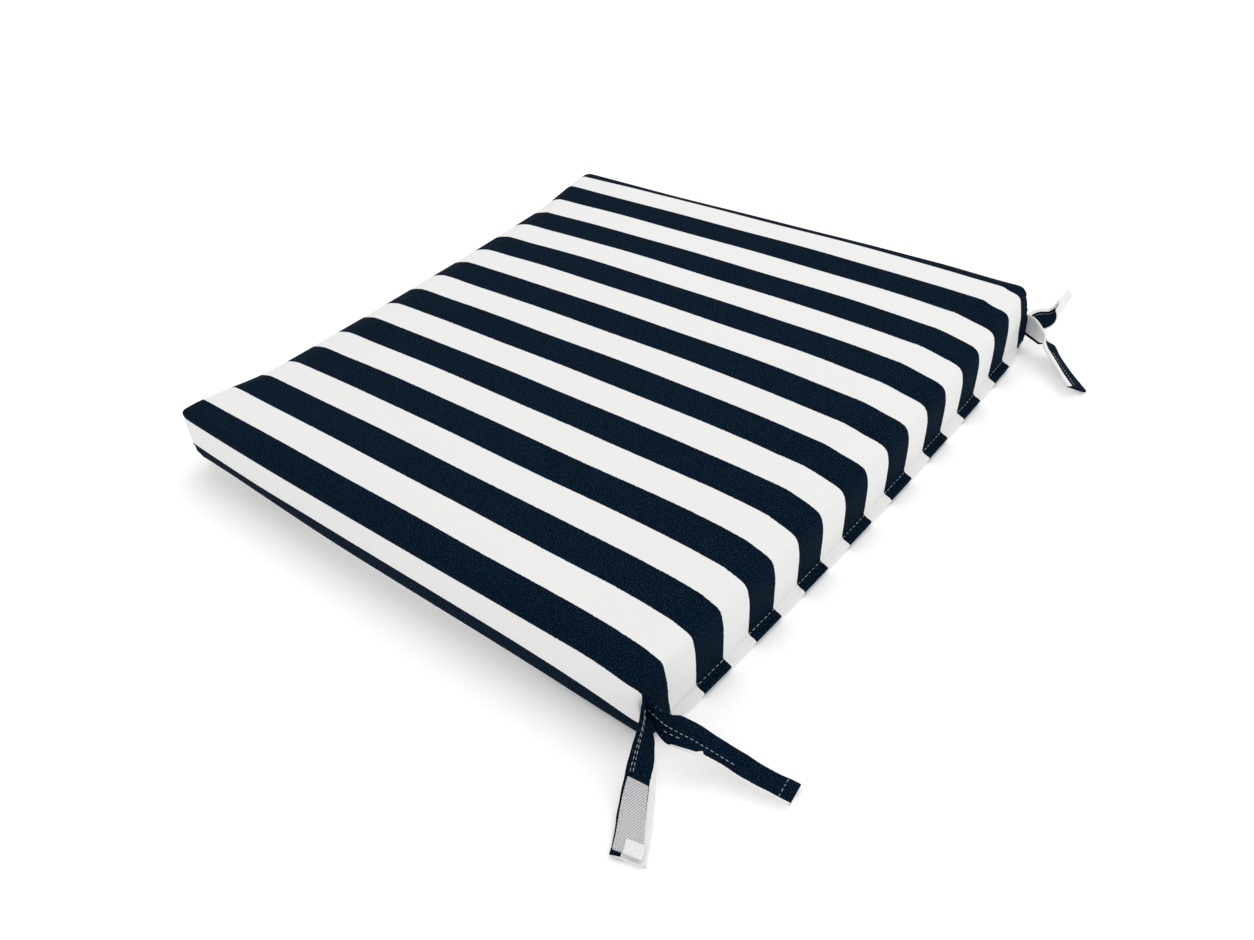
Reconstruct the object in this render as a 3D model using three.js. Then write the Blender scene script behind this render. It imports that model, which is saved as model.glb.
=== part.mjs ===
// Striped seat pad for a chair: a flat filled pad in a box cover, with two pairs of sewn ties.
// Units are millimetres. +Z is up, +Y is the back edge with the ties, -Y is the front edge.
// The origin is the centre of the flat underside, where the pad rests.

import * as THREE from 'three';

// Driving sizes of the pad
const FOOT_RADIUS = 7;          // tuck under the sides, down to the flat underside
const WALL_SWELL = 1.1;         // how far the foot and the top of a side stand in from its middle
const SWELL_MIDDLE = 22;        // height at which a side stands out the most
const SWELL_REACH = 19;         // height over which it comes in again
const TOP_INSET = 1.4;          // how far a side has come in where its top edge begins to turn
const PLAN_RADIUS = 5;          // rounding of the upright corner seams, seen from above
const CROWN = 1.8;              // how much the middle of the top rises above its edges
const MIDDLE_HEIGHT = 50;       // height of the middle without its crown

// The hem along the foot of the back, where the cover opens
const HEM_STITCH_HEIGHT = 6.2;  // height of the topstitched line
const HEM_STITCH_INSET = 2.8;   // the topstitching draws the back in by this much
const HEM_OUT = 2.4;            // how far the hem's free edge stands out of the back
const HEM_EDGE_TOP = 3.9;       // height of the free edge, upper corner
const HEM_EDGE_FOOT = 1.3;      // height of the free edge, lower corner
const HEM_WAVE = 0.5;           // unevenness of the free edge
const HEM_FADE = 24;            // length over which the hem dies out at each corner seam
const BACK_LEAN = 3.0;          // how far the foot of the back leans in
const LEAN_FROM = 7;            // height at which it leans in the most
const LEAN_TO = 34;             // height at which it stands upright

// Where each side starts, going round from the right front corner, how it bows, and its rim:
// the height of its top edge, how far that drops to the side, how far it reaches over the top,
// and how much further in than elsewhere its foot starts. The rim grows out of the corner seam
// before it and fades into the one after it, over two lengths each.
const SIDES = [
  {
    name: 'right', x: 199.4, y: -211.0, bow: 0.7, steps: 16,
    rim: { height: 50.6, drop: 6.5, reach: 6, tuck: 5 }, grow: [0, 110], fade: [0, 120],
  },
  {
    name: 'back', x: 199.8, y: 197.4, bow: 4.7, steps: 38,
    rim: { height: 49.6, drop: 12.6, reach: 31, tuck: 0 }, grow: [0, 240], fade: [0, 55],
  },
  {
    name: 'left', x: -206.3, y: 197.8, bow: 0.8, steps: 14,
    rim: { height: 50.8, drop: 8, reach: 8, tuck: 0 }, grow: [0, 60], fade: [0, 60],
  },
  {
    name: 'front', x: -203.0, y: -198.5, bow: -7.0, steps: 20,
    rim: { height: 49.4, drop: 12, reach: 22, tuck: 2 }, grow: [0, 70], fade: [0, 70],
  },
];

// The rim at the corner seam where each of those sides ends
const CORNERS = [
  { height: 49.8, drop: 9, reach: 9.5, tuck: 0 },
  { height: 50.8, drop: 10, reach: 9, tuck: 0 },
  { height: 50.4, drop: 7, reach: 7, tuck: 0 },
  { height: 50.4, drop: 4, reach: 3.5, tuck: 15 },
];
const CORNER_STEPS = 3;
const TOP_RINGS = [0.97, 0.86, 0.68, 0.45, 0.2];

// Driving sizes of the ties and what is sewn on them
const TIE_THICKNESS = 1.8;      // two layers of the cover's cloth, pressed flat
const TIE_EDGE = 0.6;           // thickness of a tie's folded edge, as a share of the whole
const FOLD_WIDTH = 4.4;         // width of cloth that bends in a lengthwise fold
const SEWN_GAP = 0.3;           // air between one piece and the next
const TAPE_THICKNESS = 1.2;
const TAPE_WIDTH = 11;
const TAPE_SPREAD = 3;          // how much wider the tape is at its end
const TAPE_LENGTH = 36;
const TAPE_INSET = 0.9;         // from the tie's navy edge to the tape
const TAPE_END_GAP = 2;         // from the tie's end to the tape
const PATCH_THICKNESS = 0.8;
const PATCH_WIDTH = 9.4;
const PATCH_LENGTH = 7.6;
const PATCH_SIDE_INSET = 4.2;   // from the tape's outer edge to the patch
const PATCH_END_INSET = 0.5;    // from the tape's end to the patch

// Each tie runs through its stations: the middle of the tie, how far it has rolled over
// in degrees (90 stands on edge, 0 and 180 lie flat), its width and its lengthwise fold
const TIES = {
  tie_right_side: [
    { x: 198.3, y: 196.8, z: 25.9, roll: 94, width: 15.0, fold: 0 },
    { x: 203.7, y: 201.4, z: 25.3, roll: 81, width: 15.0, fold: 0 },
    { x: 210.5, y: 205.3, z: 19.1, roll: 61, width: 15.5, fold: 0 },
    { x: 220.8, y: 210.3, z: 9.7, roll: 38, width: 16.0, fold: 0 },
    { x: 231.9, y: 216.2, z: 3.8, roll: 10, width: 16.4, fold: 0 },
    { x: 243.7, y: 223.6, z: 1.9, roll: 3, width: 17.0, fold: 0 },
    { x: 253.8, y: 229.4, z: 1.7, roll: 2, width: 17.8, fold: 0 },
  ],
  tie_right_back: [
    { x: 196.2, y: 198.5, z: 25.7, roll: 91, width: 14.5, fold: 0 },
    { x: 197.1, y: 203.5, z: 25.5, roll: 96, width: 14.5, fold: 0 },
    { x: 196.8, y: 208.4, z: 22.9, roll: 112, width: 14.5, fold: 0 },
    { x: 194.6, y: 214.0, z: 19.6, roll: 145, width: 14.8, fold: 0 },
    { x: 191.2, y: 223.2, z: 16.0, roll: 176, width: 14.5, fold: 0 },
    { x: 187.8, y: 236.4, z: 10.4, roll: 185, width: 13.6, fold: 0 },
    { x: 185.8, y: 253.0, z: 6.0, roll: 189, width: 13.8, fold: 0 },
    { x: 182.6, y: 271.3, z: 2.9, roll: 189, width: 13.8, fold: 0 },
  ],
  tie_left_side: [
    { x: -205.4, y: 196.8, z: 16.5, roll: 91, width: 15.0, fold: 0 },
    { x: -212.5, y: 199.2, z: 16.2, roll: 100, width: 15.0, fold: -12 },
    { x: -220.6, y: 201.9, z: 12.8, roll: 131, width: 14.5, fold: -66 },
    { x: -229.2, y: 202.0, z: 9.0, roll: 176, width: 13.5, fold: -146 },
    { x: -243.6, y: 201.2, z: 4.9, roll: 207, width: 12.0, fold: -152 },
    { x: -257.6, y: 199.6, z: 2.6, roll: 236, width: 11.5, fold: -160 },
    { x: -271.0, y: 198.4, z: 2.4, roll: 242, width: 11.0, fold: -160 },
  ],
  tie_left_back: [
    { x: -203.4, y: 198.2, z: 16.0, roll: 94, width: 15.5, fold: 0 },
    { x: -200.8, y: 203.6, z: 15.8, roll: 93, width: 15.5, fold: 0 },
    { x: -196.6, y: 210.0, z: 15.2, roll: 82, width: 15.5, fold: 0 },
    { x: -195.6, y: 215.4, z: 12.8, roll: 48, width: 15.5, fold: 0 },
    { x: -190.4, y: 222.0, z: 8.6, roll: 40, width: 15.0, fold: 0 },
    { x: -179.6, y: 235.0, z: 5.8, roll: 36, width: 14.8, fold: 0 },
    { x: -167.4, y: 248.6, z: 4.9, roll: 30, width: 15.0, fold: 0 },
  ],
};
const STEPS_PER_STATION = 4;
const END_SLANT = 4.8;          // the right side's tie is cut at a slant, and its tape too

const CLOTH = { color: 0x14202c, roughness: 0.85, metalness: 0 };
const TAPE = { color: 0xb9babd, roughness: 0.75, metalness: 0 };
const PATCH = { color: 0xe6e6e4, roughness: 0.9, metalness: 0 };

const radians = THREE.MathUtils.degToRad;
const lerp = THREE.MathUtils.lerp;
const smoothstep = THREE.MathUtils.smoothstep;

// One mesh from shared points and triangles, turned so that its faces point out
function solid(name, points, triangles, look) {
  let volume = 0;
  for (const [a, b, c] of triangles) {
    const cross = new THREE.Vector3().crossVectors(points[b], points[c]);
    volume += points[a].dot(cross);
  }
  const faces = volume > 0 ? triangles : triangles.map(([a, b, c]) => [a, c, b]);
  const geometry = new THREE.BufferGeometry();
  const flat = points.flatMap((p) => [p.x, p.y, p.z]);
  geometry.setAttribute('position', new THREE.Float32BufferAttribute(flat, 3));
  geometry.setIndex(faces.flat());
  geometry.computeVertexNormals();
  const mesh = new THREE.Mesh(geometry, new THREE.MeshStandardMaterial(look));
  mesh.name = name;
  return mesh;
}

// The pad's section, from the underside up to where the top begins: each row gives a height
// and how far that height stands inside the pad's widest outline
const FOOT_ANGLES = [0, 35, 65, 90];
const WALL_HEIGHTS = [14, 24, 34];

// The top edge turns over quickly and then runs on as a slope: shares of its drop and reach
const TOP_TURN = [
  { rise: 0, reach: 0 },
  { rise: 0.28, reach: 0.025 },
  { rise: 0.54, reach: 0.13 },
  { rise: 0.75, reach: 0.44 },
  { rise: 1, reach: 1 },
];

function plainSection(rim) {
  const foot = FOOT_ANGLES.map((angle) => ({
    z: FOOT_RADIUS * (1 - Math.cos(radians(angle))),
    inset: (FOOT_RADIUS + rim.tuck) * (1 - Math.sin(radians(angle))) + WALL_SWELL,
  }));
  const wall = WALL_HEIGHTS.map((z) => ({
    z,
    inset: WALL_SWELL * Math.min(1, ((z - SWELL_MIDDLE) / SWELL_REACH) ** 2),
  }));
  const top = TOP_TURN.map((turn) => ({
    z: rim.height - rim.drop * (1 - turn.rise),
    inset: TOP_INSET + rim.reach * turn.reach,
  }));
  return [...foot, ...wall, ...top];
}

// The same section along the back, which leans in at its foot, with the hem that stands out
function backSection(rim) {
  const hem = [
    { z: 0, inset: FOOT_RADIUS, waves: false },
    { z: HEM_EDGE_FOOT, inset: -HEM_OUT * 0.6, waves: true },
    { z: HEM_EDGE_TOP, inset: -HEM_OUT, waves: true },
    { z: HEM_STITCH_HEIGHT, inset: HEM_STITCH_INSET, waves: false },
  ];
  const wall = WALL_HEIGHTS.map((z) => ({
    z,
    inset: BACK_LEAN * (LEAN_TO - z) / (LEAN_TO - LEAN_FROM),
  }));
  const top = TOP_TURN.map((turn) => ({
    z: rim.height - rim.drop * (1 - turn.rise),
    inset: rim.reach * turn.reach,
  }));
  return [...hem, ...wall, ...top];
}

// A side's rim at its distances from its two corner seams
function rimAt(index, fromStart, fromEnd) {
  const side = SIDES[index];
  const before = CORNERS[(index + CORNERS.length - 1) % CORNERS.length];
  const after = CORNERS[index];
  const grown = smoothstep(fromStart, ...side.grow);
  const left = smoothstep(fromEnd, ...side.fade);
  const mix = (key) => lerp(after[key], lerp(before[key], side.rim[key], grown), left);
  return { height: mix('height'), drop: mix('drop'), reach: mix('reach'), tuck: mix('tuck') };
}

// One closed ring of points round the pad, at one row of the section
function ring(level) {
  const points = [];
  SIDES.forEach((side, index) => {
    const next = SIDES[(index + 1) % SIDES.length];
    const third = SIDES[(index + 2) % SIDES.length];
    const start = new THREE.Vector2(side.x, side.y);
    const end = new THREE.Vector2(next.x, next.y);
    const along = end.clone().sub(start);
    const length = along.length();
    along.normalize();
    const out = new THREE.Vector2(along.y, -along.x);
    const startTrim = PLAN_RADIUS + plainSection(rimAt(index, 0, length))[level].inset;
    const endRow = plainSection(CORNERS[index])[level];
    const endTrim = PLAN_RADIUS + endRow.inset;
    for (let i = 0; i <= side.steps; i++) {
      const t = i / side.steps;
      const place = lerp(startTrim, length - endTrim, t);
      const fromStart = place - startTrim;
      const fromEnd = length - endTrim - place;
      const rim = rimAt(index, fromStart, fromEnd);
      const plain = plainSection(rim)[level];
      const back = backSection(rim)[level];
      const hemNear = smoothstep(Math.min(fromStart, fromEnd), 0, HEM_FADE);
      const hemShare = side.name === 'back' ? hemNear : 0;
      const wave = back.waves ? HEM_WAVE * (Math.sin(place / 17) + 0.6 * Math.sin(place / 7.3 + 1)) : 0;
      const inset = lerp(plain.inset, back.inset - wave, hemShare);
      const bow = side.bow * 4 * t * (1 - t);
      const p = start.clone().addScaledVector(along, place).addScaledVector(out, bow - inset);
      points.push(new THREE.Vector3(p.x, p.y, lerp(plain.z, back.z, hemShare)));
    }
    const turn = Math.PI / 2 / CORNER_STEPS;
    const after = new THREE.Vector2(third.x, third.y).sub(end).normalize();
    const centre = end.clone().addScaledVector(along, -endTrim).addScaledVector(after, endTrim);
    for (let i = 1; i < CORNER_STEPS; i++) {
      const p = centre.clone().addScaledVector(out, Math.cos(turn * i) * PLAN_RADIUS);
      p.addScaledVector(along, Math.sin(turn * i) * PLAN_RADIUS);
      points.push(new THREE.Vector3(p.x, p.y, endRow.z));
    }
  });
  return points;
}

// The filled pad: rings up the sides, then shrinking rings over the crowned top
function cushion() {
  const levels = plainSection(CORNERS[0]).keys();
  const rings = [...levels].map(ring);
  const edge = rings[rings.length - 1];
  for (const share of TOP_RINGS) {
    rings.push(edge.map((p) => {
      const z = lerp(MIDDLE_HEIGHT, p.z, share) + CROWN * (1 - share ** 3);
      return new THREE.Vector3(p.x * share, p.y * share, z);
    }));
  }
  const count = edge.length;
  const points = rings.flat();
  const foot = points.push(new THREE.Vector3(0, 0, 0)) - 1;
  const peak = points.push(new THREE.Vector3(0, 0, MIDDLE_HEIGHT + CROWN)) - 1;
  const triangles = [];
  for (let r = 0; r + 1 < rings.length; r++) {
    for (let i = 0; i < count; i++) {
      const a = r * count + i;
      const b = r * count + (i + 1) % count;
      triangles.push([a, b, b + count], [a, b + count, a + count]);
    }
  }
  const last = (rings.length - 1) * count;
  for (let i = 0; i < count; i++) {
    const j = (i + 1) % count;
    triangles.push([foot, j, i], [peak, last + i, last + j]);
  }
  return solid('cushion', points, triangles, CLOTH);
}

// Smooth frames along a tie: its middle, the way across it and the way out of its face
function frames(stations) {
  const last = stations.length - 1;
  const spot = (index, key) => {
    if (index < 0) return 2 * stations[0][key] - stations[1][key];
    if (index > last) return 2 * stations[last][key] - stations[last - 1][key];
    return stations[index][key];
  };
  const rows = [];
  for (let i = 0; i <= last * STEPS_PER_STATION; i++) {
    const at = Math.min(Math.floor(i / STEPS_PER_STATION), last - 1);
    const t = i / STEPS_PER_STATION - at;
    const row = {};
    for (const key of ['x', 'y', 'z', 'roll', 'width', 'fold']) {
      const [a, b, c, d] = [-1, 0, 1, 2].map((step) => spot(at + step, key));
      const bends = (2 * a - 5 * b + 4 * c - d) * t * t + (3 * b - a - 3 * c + d) * t * t * t;
      row[key] = 0.5 * (2 * b + (c - a) * t + bends);
    }
    row.middle = new THREE.Vector3(row.x, row.y, row.z);
    rows.push(row);
  }
  let run = 0;
  rows.forEach((row, i) => {
    const before = rows[Math.max(i - 1, 0)].middle;
    const ahead = rows[Math.min(i + 1, rows.length - 1)].middle;
    const along = ahead.clone().sub(before).normalize();
    const level = new THREE.Vector3().crossVectors(along, new THREE.Vector3(0, 0, 1)).normalize();
    const rise = new THREE.Vector3().crossVectors(level, along);
    row.across = level.clone().multiplyScalar(Math.cos(radians(row.roll)));
    row.across.addScaledVector(rise, Math.sin(radians(row.roll)));
    row.out = new THREE.Vector3().crossVectors(row.across, along);
    run += row.middle.distanceTo(before);
    row.run = run;
  });
  return rows;
}

// The frame at a length along the tie
function frameAt(rows, run) {
  let i = 1;
  while (i < rows.length - 1 && rows[i].run < run) i++;
  const t = (run - rows[i - 1].run) / (rows[i].run - rows[i - 1].run);
  const mix = {};
  for (const key of ['middle', 'across', 'out']) {
    mix[key] = rows[i - 1][key].clone().lerp(rows[i][key], t);
  }
  for (const key of ['width', 'fold']) {
    mix[key] = lerp(rows[i - 1][key], rows[i][key], t);
  }
  return mix;
}

// A point of the tie: u runs across it from its middle, n out of its face
function tiePoint(frame, u, n) {
  const bend = radians(frame.fold) / FOLD_WIDTH;
  const inFold = THREE.MathUtils.clamp(u, -FOLD_WIDTH / 2, FOLD_WIDTH / 2);
  const angle = bend * inFold;
  const sideways = bend ? Math.sin(angle) / bend : inFold;
  const outward = bend ? (1 - Math.cos(angle)) / bend : 0;
  const rest = u - inFold;
  const p = frame.middle.clone();
  p.addScaledVector(frame.across, sideways + rest * Math.cos(angle) - n * Math.sin(angle));
  p.addScaledVector(frame.out, outward + rest * Math.sin(angle) + n * Math.cos(angle));
  return p;
}

// A thin closed strip on a tie, between two lengths, two places across and two heights. Its
// slant is how much further it runs on at the tie's one edge, at its start and at its end.
function strip(name, rows, { from, to, steps, places, heights, edge, slant, look }) {
  const points = [];
  const wide = places.length;
  const middle = (heights[0] + heights[1]) / 2;
  for (let i = 0; i <= steps; i++) {
    const share = i / steps;
    const run = lerp(from, to, share);
    const straight = frameAt(rows, run);
    const leading = lerp(slant[0], slant[1], share ** 2);
    for (const height of heights) {
      places.forEach((place, j) => {
        const outer = j === 0 || j === wide - 1;
        const u = place(straight, share);
        const frame = frameAt(rows, run - leading * u / straight.width);
        points.push(tiePoint(frame, u, outer ? lerp(middle, height, edge) : height));
      });
    }
  }
  const at = (i, layer, j) => (i * 2 + layer) * wide + j;
  const triangles = [];
  const quad = (a, b, c, d) => triangles.push([a, b, c], [a, c, d]);
  for (let i = 0; i < steps; i++) {
    for (let j = 0; j + 1 < wide; j++) {
      quad(at(i, 1, j), at(i, 1, j + 1), at(i + 1, 1, j + 1), at(i + 1, 1, j));
      quad(at(i, 0, j + 1), at(i, 0, j), at(i + 1, 0, j), at(i + 1, 0, j + 1));
    }
    quad(at(i, 0, 0), at(i, 1, 0), at(i + 1, 1, 0), at(i + 1, 0, 0));
    quad(at(i, 1, wide - 1), at(i, 0, wide - 1), at(i + 1, 0, wide - 1), at(i + 1, 1, wide - 1));
  }
  for (let j = 0; j + 1 < wide; j++) {
    quad(at(0, 0, j), at(0, 0, j + 1), at(0, 1, j + 1), at(0, 1, j));
    quad(at(steps, 0, j + 1), at(steps, 0, j), at(steps, 1, j), at(steps, 1, j + 1));
  }
  return solid(name, points, triangles, look);
}

// A whole tie, with more points across it where it folds lengthwise
function tie(name, stations) {
  const rows = frames(stations);
  const folded = stations.some((station) => station.fold !== 0);
  const edges = [-1, -0.86, 0, 0.86, 1].map((share) => (frame) => share * frame.width / 2);
  const bends = [-0.5, -0.25, 0, 0.25, 0.5].map((share) => () => share * FOLD_WIDTH);
  const places = folded ? [edges[0], edges[1], ...bends, edges[3], edges[4]] : edges;
  const half = TIE_THICKNESS / 2;
  return strip(name, rows, {
    from: 0,
    to: rows[rows.length - 1].run,
    steps: rows.length - 1,
    places,
    heights: [-half, half],
    edge: TIE_EDGE,
    slant: [0, name === 'tie_right_side' ? END_SLANT : 0],
    look: CLOTH,
  });
}

// The touch tape and its soft patch, sewn on the upper face of the right side's tie
function tapePieces() {
  const rows = frames(TIES.tie_right_side);
  const end = rows[rows.length - 1].run;
  const tapeFoot = TIE_THICKNESS / 2 + SEWN_GAP;
  const tapeTop = tapeFoot + TAPE_THICKNESS;
  const patchFoot = tapeTop + SEWN_GAP;
  const patchInset = TAPE_INSET + PATCH_SIDE_INSET;
  const fromEdge = (inset, spread) => (frame, share) => frame.width / 2 - inset - spread * share;
  const tape = strip('touch_tape', rows, {
    from: end - TAPE_END_GAP - TAPE_LENGTH,
    to: end - TAPE_END_GAP,
    steps: 10,
    places: [
      fromEdge(TAPE_INSET + TAPE_WIDTH, TAPE_SPREAD),
      fromEdge(TAPE_INSET + TAPE_WIDTH / 2, TAPE_SPREAD / 2),
      fromEdge(TAPE_INSET, 0),
    ],
    heights: [tapeFoot, tapeTop],
    edge: 1,
    slant: [END_SLANT, END_SLANT],
    look: TAPE,
  });
  const patch = strip('soft_patch', rows, {
    from: end - TAPE_END_GAP - PATCH_END_INSET - PATCH_LENGTH,
    to: end - TAPE_END_GAP - PATCH_END_INSET,
    steps: 4,
    places: [
      fromEdge(patchInset + PATCH_WIDTH, 0),
      fromEdge(patchInset + PATCH_WIDTH / 2, 0),
      fromEdge(patchInset, 0),
    ],
    heights: [patchFoot, patchFoot + PATCH_THICKNESS],
    edge: 0.5,
    slant: [END_SLANT, END_SLANT],
    look: PATCH,
  });
  return [tape, patch];
}

const model = new THREE.Group();
model.add(cushion());
for (const [name, stations] of Object.entries(TIES)) {
  model.add(tie(name, stations));
}
model.add(...tapePieces());

export default model;
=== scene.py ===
# %% [markdown]
# # A striped seat pad, dressed on its frame
# The pad is a foam block in a sewn cover of navy and white canvas, with two pairs of cloth
# ties at its back corners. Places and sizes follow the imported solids, and are closer to the
# photograph at the front edge, at the right side's foot and at one tie. This lesson makes the
# cloth over them: the inflated cover, its seams and hem, the ties, the touch tape and the
# thread.

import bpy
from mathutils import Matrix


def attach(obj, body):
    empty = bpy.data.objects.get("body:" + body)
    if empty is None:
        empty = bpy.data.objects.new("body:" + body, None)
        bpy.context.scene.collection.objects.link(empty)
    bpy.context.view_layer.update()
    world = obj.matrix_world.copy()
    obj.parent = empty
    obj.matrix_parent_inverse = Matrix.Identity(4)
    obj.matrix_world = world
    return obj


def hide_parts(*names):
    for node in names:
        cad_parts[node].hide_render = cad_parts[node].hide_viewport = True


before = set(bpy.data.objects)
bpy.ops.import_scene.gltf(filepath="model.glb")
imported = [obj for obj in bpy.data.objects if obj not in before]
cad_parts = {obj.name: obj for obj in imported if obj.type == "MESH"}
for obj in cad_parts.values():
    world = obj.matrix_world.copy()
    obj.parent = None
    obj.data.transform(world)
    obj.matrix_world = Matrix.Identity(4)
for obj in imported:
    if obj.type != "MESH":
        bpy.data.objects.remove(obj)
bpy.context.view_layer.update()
print("solids:", sorted(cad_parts))

# %% Tools of the trade
import math
import bpy
import numpy as np
from mathutils import Matrix, Vector
from mathutils.bvhtree import BVHTree

MM = 0.001
print("working in metres, with sizes written in millimetres")

# %% [markdown]
# ## The camera
# The photograph looks down at the back right corner with a moderate wide lens. Its place was
# worked out from the straight stripes and the corners. A camera could also be aimed with a
# constraint, but three plain axes are exact and leave nothing to solve.

# %% Place the camera
CAMERA_PLACE = Vector((428.0, 457.2, 458.6)) * MM
CAMERA_FORWARD = Vector((-0.5309, -0.5640, -0.6324)).normalized()
CAMERA_UP = Vector((-0.5498, -0.3386, 0.7636))
SENSOR_WIDTH = 36.0
LENS = 32.54

eye = bpy.data.objects.new("camera", bpy.data.cameras.new("camera"))
bpy.context.scene.collection.objects.link(eye)
side_axis = CAMERA_FORWARD.cross(CAMERA_UP).normalized()
up_axis = side_axis.cross(CAMERA_FORWARD)
turn = Matrix((side_axis, up_axis, -CAMERA_FORWARD)).transposed()
eye.matrix_world = Matrix.Translation(CAMERA_PLACE) @ turn.to_4x4()
eye.data.sensor_width = SENSOR_WIDTH
eye.data.lens = LENS
bpy.context.scene.camera = eye
print("camera at", [round(c, 3) for c in eye.location])

# %% [markdown]
# ## Small helpers
# Colours are written as the hex values a paint card would give, and turned to the linear
# values that light works in. Every shader and geometry tree is built with one helper that
# adds a node, gives it its settings and links its sockets: a node given as a value stands for
# its first output. A mesh that Blender's modifiers have worked on is turned back into a plain
# one, because the frame takes only plain meshes.

# %% Colour, node and mesh helpers
def linear(hex_colour):
    channels = [int(hex_colour[i:i + 2], 16) / 255 for i in (1, 3, 5)]
    bent = [c / 12.92 if c <= 0.04045 else ((c + 0.055) / 1.055) ** 2.4 for c in channels]
    return (*bent, 1.0)


def add(tree, kind, links=None, **settings):
    made = tree.nodes.new(kind)
    for key, value in settings.items():
        setattr(made, key, value)
    for key, value in (links or {}).items():
        if isinstance(value, bpy.types.Node):
            value = value.outputs[0]
        if isinstance(value, bpy.types.NodeSocket):
            tree.links.new(value, made.inputs[key])
        else:
            made.inputs[key].default_value = value
    return made


def blank_finish(name):
    """A new material, with its tree and its shader."""
    material = bpy.data.materials.new(name)
    material.use_nodes = True
    return material, material.node_tree, material.node_tree.nodes["Principled BSDF"]


def mesh_object(name, points, faces):
    mesh = bpy.data.meshes.new(name)
    mesh.from_pydata([tuple(p) for p in points], [], [tuple(f) for f in faces])
    mesh.polygons.foreach_set("use_smooth", [True] * len(mesh.polygons))
    mesh.update()
    made = bpy.data.objects.new(name, mesh)
    bpy.context.scene.collection.objects.link(made)
    return made


def map_cloth(made, places):
    """Gives each face corner its place in the cloth, in millimetres across and along."""
    made.data.uv_layers.new(name="cloth").data.foreach_set("uv", (np.array(places) * MM).reshape(-1))


def points_of(mesh):
    flat = np.empty(len(mesh.vertices) * 3)
    mesh.vertices.foreach_get("co", flat)
    return flat.reshape(-1, 3)


def plain_mesh(made):
    shape = made.evaluated_get(bpy.context.evaluated_depsgraph_get())
    solid = bpy.data.meshes.new_from_object(shape)
    made.modifiers.clear()
    made.data = solid
    return made


def smoothstep(x, low, high):
    t = np.clip((x - low) / (high - low), 0, 1)
    return t * t * (3 - 2 * t)


print("helpers ready")

# %% [markdown]
# ## Canvas in two colours
# The cover is a plain-woven polyester canvas, dyed in stripes 22 mm wide. It is matt, with a
# faint fuzz, and the navy shows pale flecks where white warp threads glint through. The
# stripes follow the cloth and not the room, so each piece carries a map named cloth: across
# the stripes and along them, in metres. The real threads are about 0.5 mm apart, too fine
# for the picture, so the weave is drawn at 0.9 mm and its flecks and fuzz at about 1 mm.

# %% Striped canvas
STRIPE = 22.1 * MM
FIRST_STRIPE_EDGE = 182.3 * MM
NAVY_EXTRA = 0.28 * MM
DYE_BLEED = 0.15 * MM
THREAD_PITCH = 0.9 * MM
FRAY_LENGTH, FRAY_WANDER = 1.43 * MM, 0.8 * MM
FLECK_SIZE, FLECK_FROM, FLECK_FULL, FLECK_MOST = 0.667 * MM, 0.56, 0.74, 0.8
FUZZ_SIZE, FUZZ_DEPTH = 1.11 * MM, 0.15 * MM
NAVY = "#00101F"
NAVY_FLECK = "#33465C"
WHITE = "#E9E9E8"
WHITE_SHADE, SHADE_MOST = "#B9B9B9", 0.05


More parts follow.
